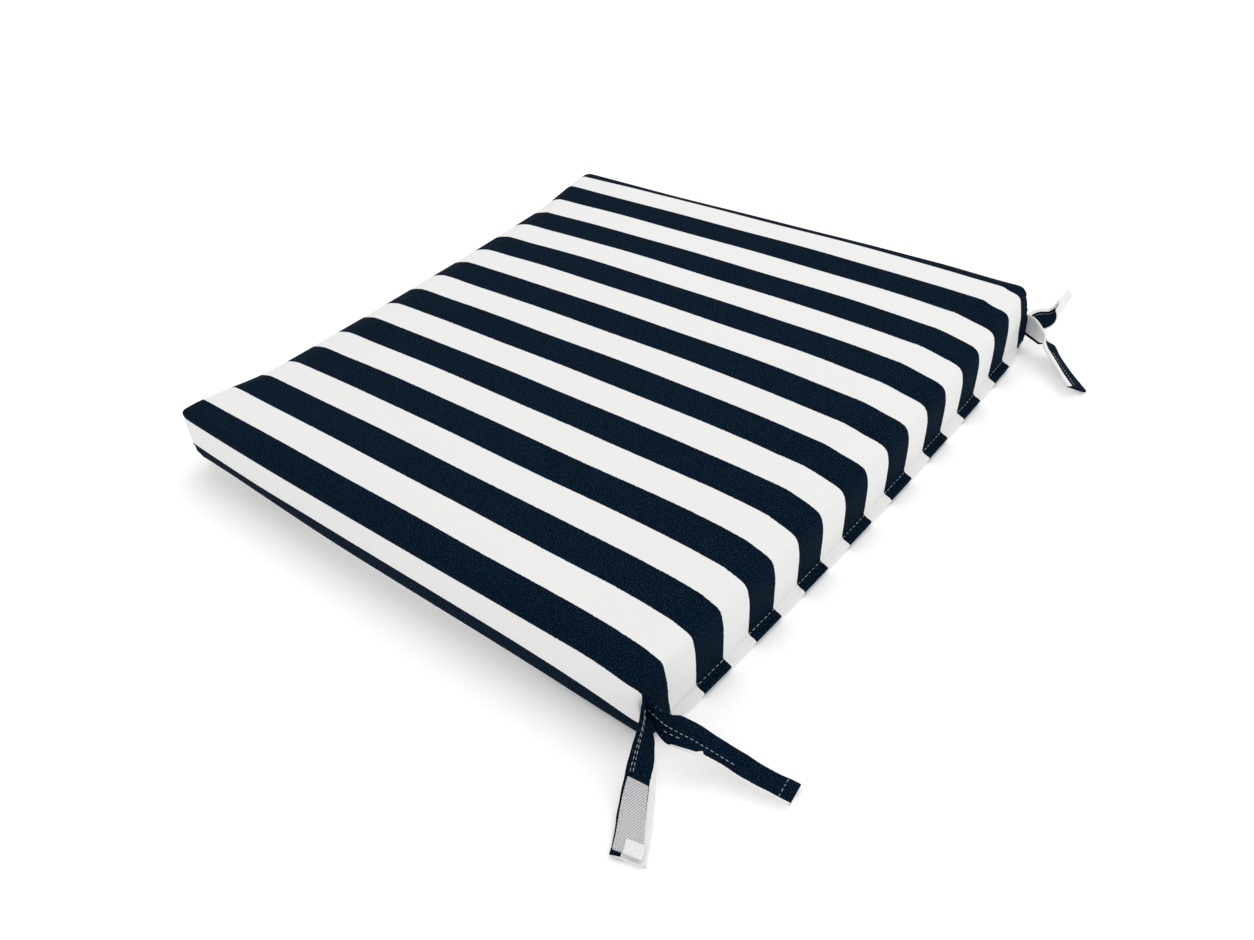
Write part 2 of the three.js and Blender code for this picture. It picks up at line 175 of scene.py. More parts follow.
def striped_canvas():
    material, tree, shader = blank_finish("striped_canvas")
    cloth = add(tree, "ShaderNodeUVMap", uv_map="cloth")
    parts = add(tree, "ShaderNodeSeparateXYZ", {"Vector": cloth})
    across, along = parts.outputs["X"], parts.outputs["Y"]
    # The dyed edge wanders by a thread or so
    fray = add(tree, "ShaderNodeTexNoise", {"Vector": cloth, "Scale": 1 / FRAY_LENGTH, "Detail": 2.0})
    drift = add(tree, "ShaderNodeMath", {0: fray, 1: -0.5}, operation="ADD")
    wander = add(tree, "ShaderNodeMath", {0: drift, 1: FRAY_WANDER, 2: across}, operation="MULTIPLY_ADD")
    centred = add(tree, "ShaderNodeMath", {0: wander, 1: STRIPE / 2 - FIRST_STRIPE_EDGE}, operation="ADD")
    wave = add(tree, "ShaderNodeMath", {0: centred, 1: STRIPE}, operation="PINGPONG")
    start = STRIPE / 2 - NAVY_EXTRA
    edge = {"Value": wave, 1: start - DYE_BLEED, 2: start + DYE_BLEED}
    in_navy = add(tree, "ShaderNodeMapRange", edge, interpolation_type="SMOOTHSTEP")
    # Pale flecks in the navy
    flecks = add(tree, "ShaderNodeTexNoise", {"Vector": cloth, "Scale": 1 / FLECK_SIZE, "Detail": 1.0})
    glint = add(tree, "ShaderNodeMapRange", {"Value": flecks, 1: FLECK_FROM, 2: FLECK_FULL, 4: FLECK_MOST})
    navy = add(tree, "ShaderNodeMix", {0: glint, 6: linear(NAVY), 7: linear(NAVY_FLECK)}, data_type="RGBA")
    # The white is shaded a little by its own weave
    threads = []
    for coordinate in (across, along):
        turns = add(tree, "ShaderNodeMath", {0: coordinate, 1: math.pi / THREAD_PITCH}, operation="MULTIPLY")
        ridge = add(tree, "ShaderNodeMath", {0: turns}, operation="SINE")
        threads.append(ridge)
    weave = add(tree, "ShaderNodeMath", {0: threads[0], 1: threads[1]}, operation="MULTIPLY")
    shade = add(tree, "ShaderNodeMapRange", {"Value": weave, 1: -1.0, 2: 1.0, 4: SHADE_MOST})
    white = add(tree, "ShaderNodeMix", {0: shade, 6: linear(WHITE), 7: linear(WHITE_SHADE)},
                data_type="RGBA")
    colour = add(tree, "ShaderNodeMix", {0: in_navy, 6: white.outputs[2], 7: navy.outputs[2]},
                 data_type="RGBA")
    tree.links.new(colour.outputs[2], shader.inputs["Base Color"])
    fuzz = add(tree, "ShaderNodeTexNoise", {"Vector": cloth, "Scale": 1 / FUZZ_SIZE, "Detail": 3.0})
    relief = add(tree, "ShaderNodeMath", {0: weave, 1: 0.5, 2: fuzz}, operation="MULTIPLY_ADD")
    bump = add(tree, "ShaderNodeBump", {"Strength": 0.35, "Distance": FUZZ_DEPTH, "Height": relief})
    tree.links.new(bump.outputs["Normal"], shader.inputs["Normal"])
    shader.inputs["Roughness"].default_value = 0.85
    shader.inputs["Specular IOR Level"].default_value = 0.03
    return material


CANVAS = striped_canvas()
print("canvas stripes every", round(STRIPE / MM, 1), "mm")

# %% [markdown]
# ## The pad's cover
# The cover is one cloth boxed over the foam: it folds over all four edges, and an upright
# seam closes each corner. Along the foot of the back it ends in a topstitched hem. The start
# is a grid of even squares about 5 mm wide, with more rows where the cloth turns, because
# cloth simulation likes even squares and the seams need a line of points to lie on. A voxel
# remesh would also give even squares, but it would lose the seam lines and the cloth map.

# %% Sizes of the pad
FOOT_RADIUS = 7.0
WALL_SWELL, SWELL_MIDDLE, SWELL_REACH = 1.1, 22.0, 19.0
TOP_INSET = 1.4
PLAN_RADIUS = 5.0
CROWN = 1.8
# Where each side starts, going round, how far it bows out, and its rim: the height of its top
# edge, its drop down the side, its reach over the top and the tuck of its foot. That rim grows
# out of the corner before it and fades into the one after it over the lengths grow and fade.
# The tuck of the right side's foot grows more slowly.
SIDES = [
    dict(name="right", x=199.4, y=-211.0, bow=0.7, steps=86, grow=(0, 110), fade=(0, 120),
         tuck_grow=(0, 175), rim=dict(height=50.6, drop=6.5, reach=6.0, tuck=5.0)),
    dict(name="back", x=199.8, y=197.4, bow=4.7, steps=82, grow=(0, 240), fade=(0, 55),
         rim=dict(height=49.6, drop=12.6, reach=31.0, tuck=0.0)),
    dict(name="left", x=-206.3, y=197.8, bow=0.8, steps=86, grow=(0, 60), fade=(0, 60),
         rim=dict(height=50.8, drop=8.0, reach=8.0, tuck=0.0)),
    dict(name="front", x=-203.0, y=-198.5, bow=-4.8, steps=82, grow=(0, 70), fade=(0, 70),
         rim=dict(height=49.4, drop=12.0, reach=22.0, tuck=2.0)),
]
# The rim at the corner where each of those sides ends
CORNERS = [
    dict(height=49.8, drop=9.0, reach=9.5, tuck=0.0),
    dict(height=50.7, drop=11.5, reach=11.5, tuck=0.0),
    dict(height=50.4, drop=7.0, reach=7.0, tuck=0.0),
    dict(height=50.4, drop=4.0, reach=3.5, tuck=15.0),
]
# Each corner turns in six steps, with its seam at the third. Where that seam lies in the
# quarter turn, in degrees from the side before it, at the upper and the lower of two heights
CORNER_STEPS, SEAM_STEP = 6, 3
SEAM_TURNS = [(64, 12), (45, 45), (45, 45), (45, 45)]
SEAM_HIGH, SEAM_LOW = 42, 4
print("pad", SIDES[0]["x"] - SIDES[2]["x"], "mm wide")

# %% [markdown]
# Each column of the grid has a section: how far in the cloth stands at each height, from the
# foot to the rounded top edge. The foot is a quarter of an ellipse, taller where it is tucked
# in. Along the back the wall leans in towards its foot instead, and the lowest rows swing out
# into the hem.

# %% The section of the cover
HEM_OUT = 2.4
HEM_FADE = 24.0
FOOT_ROWS = [0.0, 0.5, 1.4, 2.6, 3.8, 5.0, 6.2]
FOOT_HEIGHT, FOOT_HEIGHT_PER_TUCK = 6.2, 0.75
# The height and inset of each of those rows where it swings out into the hem
HEM_ROWS = [(0.0, FOOT_RADIUS), (0.3, 0.2), (1.3, -1.4), (2.6, -2.3), (3.9, -HEM_OUT), (5.0, 0.5),
            (6.2, 2.8)]
WALL_ROWS = [7.4, 9.2, 12.5, 16.5, 20.5, 24.5, 28.5, 32.5]
BACK_LEAN, LEAN_FROM, LEAN_TO = 3.0, 7.0, 34.0
# The top edge turns over quickly and then runs on as a slope: shares of its drop and reach
TOP_RISE = [0.0, 0.14, 0.28, 0.42, 0.54, 0.65, 0.75, 0.84, 0.93, 1.0]
TOP_REACH = [0.0, 0.006, 0.025, 0.06, 0.13, 0.25, 0.44, 0.64, 0.84, 1.0]
LEVELS = len(FOOT_ROWS) + len(WALL_ROWS) + len(TOP_RISE)


def foot_inset(rim, height):
    """How far in the rounded foot stands at a height."""
    down = max(0.0, 1 - height / (FOOT_HEIGHT + FOOT_HEIGHT_PER_TUCK * rim["tuck"]))
    return (FOOT_RADIUS + rim["tuck"]) * (1 - math.sqrt(1 - down * down))


def section(rim, back_share):
    """The height and inset of every row, from the foot to the top's rim."""
    rows = []
    for height, (hem_height, hem_inset) in zip(FOOT_ROWS, HEM_ROWS):
        plain = foot_inset(rim, height) + WALL_SWELL
        rows.append((height + (hem_height - height) * back_share, plain + (hem_inset - plain) * back_share))
    for height in WALL_ROWS:
        swell = WALL_SWELL * min(1.0, ((height - SWELL_MIDDLE) / SWELL_REACH) ** 2)
        lean = BACK_LEAN * (LEAN_TO - height) / (LEAN_TO - LEAN_FROM)
        plain = swell + foot_inset(rim, height)
        rows.append((height, plain + (lean - plain) * back_share))
    for rise, reach in zip(TOP_RISE, TOP_REACH):
        inset = TOP_INSET * (1 - back_share) + rim["reach"] * reach
        rows.append((rim["height"] - rim["drop"] * (1 - rise), inset))
    return rows


print("rows up the side:", LEVELS)

# %% [markdown]
# The columns stand closer together near the corner seams. Each corner turns on a small
# radius. Its seam is at the middle of that turn, but at the near corner the seam slants: at
# the top it lies further round towards the back, and at the foot towards the side.

# %% Columns round the pad
CROWDING = 0.075


def rim_at(index, from_start, from_end):
    """The rim at a place on a side, between the rims of its two corners."""
    side, before, after = SIDES[index], CORNERS[index - 1], CORNERS[index]
    rim = {}
    for key, own in side["rim"].items():
        grow = side.get(key + "_grow", side["grow"])
        grown_out = before[key] + (own - before[key]) * smoothstep(from_start, *grow)
        rim[key] = after[key] + (grown_out - after[key]) * smoothstep(from_end, *side["fade"])
    return rim


def ring_at(level):
    """One row of the grid, all the way round the pad."""
    ring = []
    for index, side in enumerate(SIDES):
        after, third = SIDES[(index + 1) % 4], SIDES[(index + 2) % 4]
        start, end = np.array([side["x"], side["y"]]), np.array([after["x"], after["y"]])
        length = np.linalg.norm(end - start)
        along = (end - start) / length
        out = np.array([along[1], -along[0]])
        first = PLAN_RADIUS + section(CORNERS[index - 1], 0.0)[level][1]
        end_height, end_inset = section(CORNERS[index], 0.0)[level]
        trim = PLAN_RADIUS + end_inset
        last = length - trim
        for step in range(side["steps"] + 1):
            even = step / side["steps"]
            t = even - CROWDING * math.sin(2 * math.pi * even)
            place = first + (last - first) * t
            rim = rim_at(index, place - first, last - place)
            near = min(place - first, last - place)
            back_share = smoothstep(near, 0, HEM_FADE) if side["name"] == "back" else 0.0
            height, inset = section(rim, back_share)[level]
            bow = side["bow"] * 4 * t * (1 - t)
            x, y = start + along * place + out * (bow - inset)
            ring.append((x, y, height))
        turn_along = np.array([third["x"], third["y"]]) - end
        turn_along /= np.linalg.norm(turn_along)
        centre = end - along * trim + turn_along * trim
        seam_top, seam_foot = SEAM_TURNS[index]
        seam = np.interp(end_height, [SEAM_LOW, SEAM_HIGH], [seam_foot, seam_top])
        for step in range(1, CORNER_STEPS):
            angle = math.radians(np.interp(step, [0, SEAM_STEP, CORNER_STEPS], [0, seam, 90]))
            x, y = centre + (out * math.cos(angle) + along * math.sin(angle)) * PLAN_RADIUS
            ring.append((x, y, end_height))
    return np.array(ring)


rings = np.array([ring_at(level) for level in range(LEVELS)])
COLUMNS = rings.shape[1]
print("columns round the pad:", COLUMNS)

# %% [markdown]
# The top and the underside are two patches stretched between the four edges. A Coons patch
# blends opposite edges, so its lines meet every column of the sides. The top then gets the
# foam's slight crown.

# %% Patches for the top and the underside
# The crown's flatness across and along the stripes: a higher power keeps more of it flat
CROWN_ACROSS, CROWN_ALONG = 4, 2.4


def edge_runs():
    """Column numbers of the four edges, each from one corner seam to the next."""
    runs, at = [], 0
    for side in SIDES:
        run = range(at - CORNER_STEPS + SEAM_STEP, at + side["steps"] + SEAM_STEP + 1)
        runs.append([column % COLUMNS for column in run])
        at += side["steps"] + CORNER_STEPS
    return runs


RUNS = edge_runs()


def patch(ring, crown):
    right, back = ring[RUNS[0]], ring[RUNS[1]]
    left, front = ring[RUNS[2]][::-1], ring[RUNS[3]][::-1]

    def shares(edge):
        run = np.concatenate([[0], np.cumsum(np.linalg.norm(np.diff(edge[:, :2], axis=0), axis=1))])
        return run / run[-1]

    u = ((shares(back) + shares(front)) / 2)[:, None, None]
    v = ((shares(right) + shares(left)) / 2)[None, :, None]
    blended = (1 - u) * right[None] + u * left[None] + (1 - v) * front[:, None] + v * back[:, None]
    corners = (1 - u) * (1 - v) * right[0] + (1 - u) * v * right[-1]
    corners = corners + u * (1 - v) * left[0] + u * v * left[-1]
    surface = blended - corners
    from_middle = np.abs(2 * u - 1) ** CROWN_ACROSS, np.abs(2 * v - 1) ** CROWN_ALONG
    surface[:, :, 2] += (crown * (1 - from_middle[0]) * (1 - from_middle[1]))[:, :, 0]
    return surface


top = patch(rings[-1], CROWN)
under = patch(rings[0], 0.0)
print("patch of", [side - 1 for side in top.shape[:2]], "squares, highest", round(top[:, :, 2].max(), 1))

# %% [markdown]
# The two patches and the rings become one closed mesh. Each face also gets its place in the
# cloth map: the top lies flat in it, and each side hangs from the edge it belongs to, by the
# length of cloth from the top's rim. Cloth is never cut and sewn quite true, so the stripes
# drift by a few millimetres. Short tables say by how much, as the photograph shows it: on the
# top for a place across the pad, near its back edge and in its far front corner for a place
# along it, and on the right side for a place along it at two lengths down from the rim.

# %% Where the stripes drift
TOP_DRIFT_AT = [-205, -170, -145, -100, -40, 0, 50, 100, 150, 182, 200]
TOP_DRIFT = [3.2, 0.4, -1.0, -1.2, -0.5, 0.5, 1.4, 1.1, -0.2, -1.4, -1.8]
BACK_DRIFT_AT = [70, 110, 145, 165, 180, 190, 197, 204]
NEAR_BACK_DRIFT = [0.0, -0.6, -1.2, -0.9, 0.0, 0.5, 0.3, 0.0]
FAR_BACK_DRIFT = [0.0, 0.0, 0.5, 1.5, 2.1, 2.6, 1.0, 0.0]
FRONT_DRIFT_AT, FRONT_DRIFT = [-200, -160, -130, -90], [3.2, 2.8, 1.2, 0.0]
SIDE_DRIFT_AT = [-200, -170, -130, -90, -50, 30, 70, 110, 140, 165, 190]
HIGH_DRIFT = [-0.3, -0.2, 0.1, 0.1, -0.1, -0.9, -1.4, -1.8, -1.8, -1.6, -2.8]
LOW_DRIFT = [0.2, 0.4, 0.2, 1.1, 1.1, 0.4, -0.5, -1.5, -3.0, -5.4, -8.3]
HIGH_AT, LOW_AT = 12.0, 34.0
# The two tables for the back are for the near and the far part of that edge
NEAR_PART_TO, FAR_PART_FROM = 60, -30
CORNER_PART = (175, 193)


def on_roll(x, y):
    """Where the place x, y of the top lies across the striped cloth."""
    near = np.interp(y, BACK_DRIFT_AT, NEAR_BACK_DRIFT)
    far = np.interp(y, BACK_DRIFT_AT, FAR_BACK_DRIFT)
    at_back = near + (far - near) * smoothstep(-x, -NEAR_PART_TO, -FAR_PART_FROM)
    at_front = np.interp(y, FRONT_DRIFT_AT, FRONT_DRIFT) * smoothstep(-x, *CORNER_PART)
    return x - np.interp(x, TOP_DRIFT_AT, TOP_DRIFT) - at_back - at_front


def side_drift(y, hang):
    """How far the right side's stripes drift at a length of cloth below the rim."""
    high, low = np.interp(y, SIDE_DRIFT_AT, HIGH_DRIFT), np.interp(y, SIDE_DRIFT_AT, LOW_DRIFT)
    return np.interp(hang, [0, HIGH_AT, LOW_AT], [0, high, low])


print("stripes drift by up to", max(TOP_DRIFT), "mm on the top")

# %% [markdown]
# The outermost points of the two patches are the highest and the lowest ring's own points, so
# the mesh has no double points and no open edge.

# %% One mesh with its cloth map
def pad_cover():
    points = list(rings.reshape(-1, 3))
    faces, maps = [], []
    owner = np.empty(COLUMNS, int)
    for side, run in enumerate(RUNS):
        for column in run[:-1]:
            owner[column] = side
    steps = np.linalg.norm(np.diff(rings, axis=0), axis=2)
    hang = np.vstack([np.cumsum(steps[::-1], axis=0)[::-1], np.zeros(COLUMNS)])

    def in_cloth(level, column, side):
        x, y = rings[level, column, :2]
        rim_x, rim_y = rings[-1, column, :2]
        below = hang[level, column]
        if side == 0:
            return on_roll(rim_x, rim_y) + below + side_drift(y, below), y
        if side == 2:
            return on_roll(rim_x, rim_y) - below, y
        down = rim_y + (below if side == 1 else -below)
        return on_roll(x, down), down

    for level in range(LEVELS - 1):
        for column in range(COLUMNS):
            after = (column + 1) % COLUMNS
            spots = [(level, column), (level, after), (level + 1, after), (level + 1, column)]
            faces.append([r * COLUMNS + c for r, c in spots])
            maps.append([in_cloth(r, c, owner[column]) for r, c in spots])
    for surface, ring_level, flip in ((top, LEVELS - 1, False), (under, 0, True)):
        wide, deep = surface.shape[:2]
        number = -np.ones((wide, deep), int)
        for edge, run in ((number[0], RUNS[0]), (number[:, -1], RUNS[1])):
            edge[:] = [ring_level * COLUMNS + c for c in run]
        for edge, run in ((number[-1, ::-1], RUNS[2]), (number[::-1, 0], RUNS[3])):
            edge[:] = [ring_level * COLUMNS + c for c in run]
        for i in range(1, wide - 1):
            for j in range(1, deep - 1):
                number[i, j] = len(points)
                points.append(surface[i, j])
        for i in range(wide - 1):
            for j in range(deep - 1):
                spots = [(i, j), (i, j + 1), (i + 1, j + 1), (i + 1, j)]
                spots = spots[::-1] if flip else spots
                faces.append([number[s] for s in spots])
                maps.append([(on_roll(*surface[s][:2]), surface[s][1]) for s in spots])
    made = mesh_object("cushion_cover", np.array(points) * MM, faces)
    map_cloth(made, maps)
    return made


cover = pad_cover()
print("cover:", len(cover.data.vertices), "points,", len(cover.data.polygons), "squares")

# %% [markdown]
# ## Filling the cover
# The foam presses the cloth out, and the seams hold it back. Blender's cloth simulation does
# that with air pressure and no gravity. The underside, the hem and the corner seams are
# pinned, and a weak pin on every other point stands for the firm foam behind it. The cloth
# starts a little inside its place, so that the pressure brings it there.

# %% Lay out the cover and pin it
FILL_ROOM = 0.8 * MM
ROOM_HEIGHTS = (9 * MM, 18 * MM)
FOOT_HEIGHT_HELD = 10 * MM
SEWN, BESIDE_SEAM, FOAM_HOLD = 1.0, 0.6, 0.11
wanted = points_of(cover.data).copy()
normals = np.array([vertex.normal for vertex in cover.data.vertices])
room = smoothstep(wanted[:, 2], *ROOM_HEIGHTS)[:, None]
start_points = wanted - normals * FILL_ROOM * room
cover.data.vertices.foreach_set("co", start_points.reshape(-1))
pinned = np.full(len(start_points), SEWN)
pinned[start_points[:, 2] > FOOT_HEIGHT_HELD] = FOAM_HOLD
seam_columns = [run[0] for run in RUNS]
for level in range(LEVELS):
    for column in seam_columns:
        for step in (-1, 0, 1):
            pinned[level * COLUMNS + (column + step) % COLUMNS] = BESIDE_SEAM if step else SEWN
print("points held only by the foam:", int((pinned == FOAM_HOLD).sum()))

# %% [markdown]
# The simulation runs for twenty frames. Then no point may have moved further than a
# millimetre or so, because foam is firm: a smooth limit shortens the longest moves.

# %% Inflate the cover
PRESSURE = 4.0
SETTLE_FRAMES = 20
MOST_MOVE = 1.4 * MM
NEAR_CORNER = 15
pins = cover.vertex_groups.new(name="sewn")
for weight in (SEWN, BESIDE_SEAM, FOAM_HOLD):
    pins.add([int(i) for i in np.flatnonzero(pinned == weight)], weight, "REPLACE")
cloth = cover.modifiers.new("filling", "CLOTH")
cloth.settings.vertex_group_mass = "sewn"
cloth.settings.use_pressure = True
cloth.settings.uniform_pressure_force = PRESSURE
cloth.settings.effector_weights.gravity = 0.0
cloth.settings.quality = 5
cloth.settings.tension_stiffness = 20.0
cloth.settings.bending_stiffness = 2.0
cloth.point_cache.frame_end = SETTLE_FRAMES
for moment in range(1, SETTLE_FRAMES + 1):
    bpy.context.scene.frame_set(moment)
plain_mesh(cover)
bpy.context.scene.frame_set(1)
moved = points_of(cover.data) - start_points
distance = np.linalg.norm(moved, axis=1, keepdims=True)
print("cloth pushed out by up to", round(float(distance.max()) / MM, 2), "mm")
kept = moved / np.maximum(distance, 1e-9) * MOST_MOVE * np.tanh(distance / MOST_MOVE)
settled = start_points + kept
off = ((settled - wanted) * normals).sum(axis=1) / MM
for side, run in zip(SIDES, RUNS):
    middle = run[NEAR_CORNER:-NEAR_CORNER]
    by_level = [float(off[[level * COLUMNS + c for c in middle]].mean()) for level in range(LEVELS)]
    print(side["name"], "stands off the plan, foot to top:", *(f"{o:.1f}" for o in by_level))

# %% [markdown]
# One subdivision rounds the grid, and then the sewing is pressed in: a narrow groove with
# small puckers along each corner seam, and a slight unevenness that loose cloth on foam has.

# %% Seams and small unevenness
SEAM_GROOVE, SEAM_WIDTH = 0.9, 1.3
PUCKER, PUCKER_LENGTH, PUCKER_REACH = 0.35, 6.0, 7.0
# The heights over which the groove begins above the floor and ends below the top edge
SEAM_FOOT, SEAM_HEAD = (1.0, 4.0), (44.0, 49.0)
# Slow and quick waves of the top: no two of their lengths match, so they never line up
SLOW_WAVE, QUICK_WAVE = 0.28, 0.16
# Creases beside the right ties, where the sewing gathers the cloth
CREASE_CENTRE, CREASE_REACH = (194, 197, 30), 11
CREASE, CREASE_LENGTH, CREASE_LEAN = 0.3, 1.5, 0.9


def press_in_seams(points):
    placed = points / MM
    corners = rings[LEVELS // 2][seam_columns]
    for x, y, _ in corners:
        away = placed[:, :2] - [x, y]
        near = np.linalg.norm(away, axis=1)
        inward = -np.array([x, y]) / np.hypot(x, y)
        on_wall = smoothstep(placed[:, 2], *SEAM_FOOT) * (1 - smoothstep(placed[:, 2], *SEAM_HEAD))
        groove = SEAM_GROOVE * np.exp(-(near / SEAM_WIDTH) ** 2)
        ripple = PUCKER * np.sin(placed[:, 2] * 2 * math.pi / PUCKER_LENGTH)
        ripple *= np.exp(-(near / PUCKER_REACH) ** 2)
        placed[:, :2] += inward * ((groove + ripple) * on_wall)[:, None]
    return placed * MM


def unevenness(points):
    x, y, z = (points / MM).T
    soft = SLOW_WAVE * np.sin(x / 31 + 1.3) * np.sin(y / 37 + 0.4) + QUICK_WAVE * np.sin(x / 13 + y / 19)
    from_ties = np.linalg.norm(points / MM - CREASE_CENTRE, axis=1)
    creases = CREASE * np.sin((x + CREASE_LEAN * z) / CREASE_LENGTH)
    creases *= np.exp(-(from_ties / CREASE_REACH) ** 2)
    on_back, on_top = smoothstep(y, 194, 197), smoothstep(z, 40, 50)
    moved = np.stack([0 * x, creases * on_back, soft * on_top], axis=1)
    return points + moved * MM


cover.data.vertices.foreach_set("co", settled.reshape(-1))
rounder = cover.modifiers.new("rounder", "SUBSURF")
rounder.levels = rounder.render_levels = 1
plain_mesh(cover)
finished = unevenness(press_in_seams(points_of(cover.data)))
finished[:, 2] = np.maximum(finished[:, 2], 0)
cover.data.vertices.foreach_set("co", finished.reshape(-1))
cover.data.polygons.foreach_set("use_smooth", [True] * len(cover.data.polygons))
cover.data.update()
cover.data.materials.append(CANVAS)
print("cover now has", len(cover.data.vertices), "points")

# %% [markdown]
# ## The ties
# Each tie is a strip of the same canvas, folded and sewn flat in two layers, about 16 mm wide
# and 1.8 mm thick. It leaves its corner seam standing on edge and rolls over as it comes down
# to the floor. A short table gives the stations of each tie: the middle of the strip, how far
# it has rolled and its lengthwise fold in degrees, and its width. A simulated drop could also
# lay it down, but not in the very twist that the photograph shows.

# %% Stations of the ties
TIE_THICKNESS = 1.8
FOLD_WIDTH = 4.4
# x, y, z, roll, width, fold
TIES = {
    "tie_right_side": [
        (198.3, 196.8, 25.9, 94, 15.0, 0),
        (203.7, 201.4, 25.3, 81, 15.0, 0),
        (210.5, 205.3, 19.1, 61, 15.5, 0),
        (220.8, 210.3, 9.7, 38, 16.0, 0),
        (231.9, 216.2, 3.8, 10, 16.4, 0),
        (243.7, 223.6, 1.9, 3, 17.0, 0),
        (253.8, 229.4, 1.7, 2, 17.8, 0),
    ],
    "tie_right_back": [
        (196.2, 198.5, 25.7, 91, 14.5, 0),
        (197.1, 203.5, 25.5, 96, 14.5, 0),
        (196.8, 208.4, 22.9, 112, 14.5, 0),
        (194.6, 214.0, 19.6, 145, 14.8, 0),
        (191.2, 223.2, 16.0, 176, 14.5, 0),
        (187.8, 236.4, 10.4, 185, 13.6, 0),
        (185.8, 253.0, 6.0, 189, 13.8, 0),
        (182.6, 271.3, 2.9, 189, 13.8, 0),
    ],
    "tie_left_side": [
        (-205.4, 196.8, 16.5, 91, 15.0, 0),
        (-212.5, 199.2, 16.2, 100, 15.0, -12),
        (-220.6, 201.9, 12.8, 131, 14.5, -66),
        (-229.2, 202.0, 9.0, 176, 13.5, -146),
        (-243.6, 201.2, 4.9, 207, 12.0, -152),
        (-257.6, 199.6, 2.6, 236, 11.5, -160),
        (-271.0, 198.4, 2.4, 242, 11.0, -160),
    ],
    "tie_left_back": [
        (-203.4, 198.2, 16.0, 94, 15.5, 0),
        (-200.8, 203.6, 15.8, 93, 15.5, 0),
        (-196.6, 210.0, 15.2, 82, 15.5, 0),
        (-194.6, 216.0, 12.4, 40, 15.5, 0),
        (-190.4, 222.0, 8.6, 40, 15.0, 0),
        (-179.6, 235.0, 5.8, 36, 14.8, 0),
        (-167.4, 248.6, 4.9, 30, 15.0, 0),
    ],
}
STEPS_PER_STATION = 12
# The right side's tie is cut at a slant at its end, and its tape is sewn on at that slant
END_SLANT = 4.8
print("ties:", list(TIES))

# %% [markdown]
# A smooth curve runs through the stations, and at each step it gets a frame of three
# directions: along the strip, across it, and out of its face. A lengthwise fold bends the
# middle of the strip round an arc.

# %% Frames along a tie
def tie_rows(name):
    table = np.array(TIES[name], float)
    padded_table = np.vstack([2 * table[0] - table[1], table, 2 * table[-1] - table[-2]])
    spans = len(table) - 1
    rows = []
    for step in range(spans * STEPS_PER_STATION + 1):
        at = min(step // STEPS_PER_STATION, spans - 1)
        t = step / STEPS_PER_STATION - at
        a, b, c, d = padded_table[at:at + 4]
        bends = (2 * a - 5 * b + 4 * c - d) * t ** 2 + (3 * b - a - 3 * c + d) * t ** 3
        rows.append(0.5 * (2 * b + (c - a) * t + bends))
    rows = np.array(rows)
    middle = rows[:, :3]
    along = np.gradient(middle, axis=0)
    along /= np.linalg.norm(along, axis=1, keepdims=True)
    level = np.cross(along, [0, 0, 1])
    level /= np.linalg.norm(level, axis=1, keepdims=True)
    rise = np.cross(level, along)
    roll = np.radians(rows[:, 3:4])
    across = level * np.cos(roll) + rise * np.sin(roll)
    out = np.cross(across, along)
    steps = np.linalg.norm(np.diff(middle, axis=0), axis=1)
    run = np.concatenate([[0], np.cumsum(steps)])
    return dict(middle=middle, across=across, out=out, width=rows[:, 4], fold=rows[:, 5], run=run)


def row_at(rows, run):
    """The frame at a length along the tie, carried straight on past either end."""
    i = int(np.clip(np.searchsorted(rows["run"], run), 1, len(rows["run"]) - 1))
    t = (run - rows["run"][i - 1]) / (rows["run"][i] - rows["run"][i - 1])
    return {key: rows[key][i - 1] + (rows[key][i] - rows[key][i - 1]) * t
            for key in ("middle", "across", "out", "width", "fold")}


def slanted(rows, run, u, slant):
    """The frame for a place u across a tie that runs on further at its one edge."""
    return row_at(rows, run - slant * u / row_at(rows, run)["width"])


def tie_point(row, u, n):
    """The place u across the strip and n out of its middle, in its frame and its fold."""
    bend = math.radians(row["fold"]) / FOLD_WIDTH
    in_fold = min(max(u, -FOLD_WIDTH / 2), FOLD_WIDTH / 2)
    angle = bend * in_fold
    sideways = math.sin(angle) / bend if bend else in_fold
    outward = (1 - math.cos(angle)) / bend if bend else 0.0
    rest = u - in_fold
    sideways += rest * math.cos(angle) - n * math.sin(angle)
    outward += rest * math.sin(angle) + n * math.cos(angle)
    return row["middle"] + row["across"] * sideways + row["out"] * outward


print("longest tie:", round(max(tie_rows(name)["run"][-1] for name in TIES), 1), "mm")

# %% [markdown]
# The strip is wrapped from one piece of striped cloth, so its cloth map runs right round it:
# from its edge A across the navy face to its edge B, and back along the other face. The
# pattern is kept as a phase, 0 in the middle of the navy and 1 in the middle of the white.

# %% How the stripes wrap the ties
FACE_POINTS = 10
# The faces stop short of the edges and thin towards them, and the edges bulge between
FACE_INSET, FACE_THINNING, EDGE_INSET = 0.3, 0.12, 0.5
EDGE_ROUND = [(-0.5, 0.55), (0.0, 0.75), (0.5, 0.55)]
# Which face is navy (1 is the upper one), where the navy starts from edge A, and how far it
# reaches past edge B near the root and far from it
WRAPS = {
    "tie_right_side": dict(navy_face=1, from_a=-6.0, past_b=-1.4, past_b_far=-3.6),
    "tie_right_back": dict(navy_face=-1, from_a=-5.0, past_b=-1.2, past_b_far=-1.2),
    "tie_left_side": dict(navy_face=-1, from_a=2.0, past_b=-0.6, past_b_far=-0.6),
    "tie_left_back": dict(navy_face=1, from_a=3.2, past_b=2.4, past_b_far=2.4),
}
FAR_FROM_ROOT = (20, 36)
# The roots of the right ties are navy all round, so less of the phase shows there: their own face is navy,
# and the navy carried round their white face is painted shade between the two ties
ROOT_NAVY_SHADE = {"tie_right_side": 0.42, "tie_right_back": 0.42}
ROOT_SHADE_FADE = (9, 18)
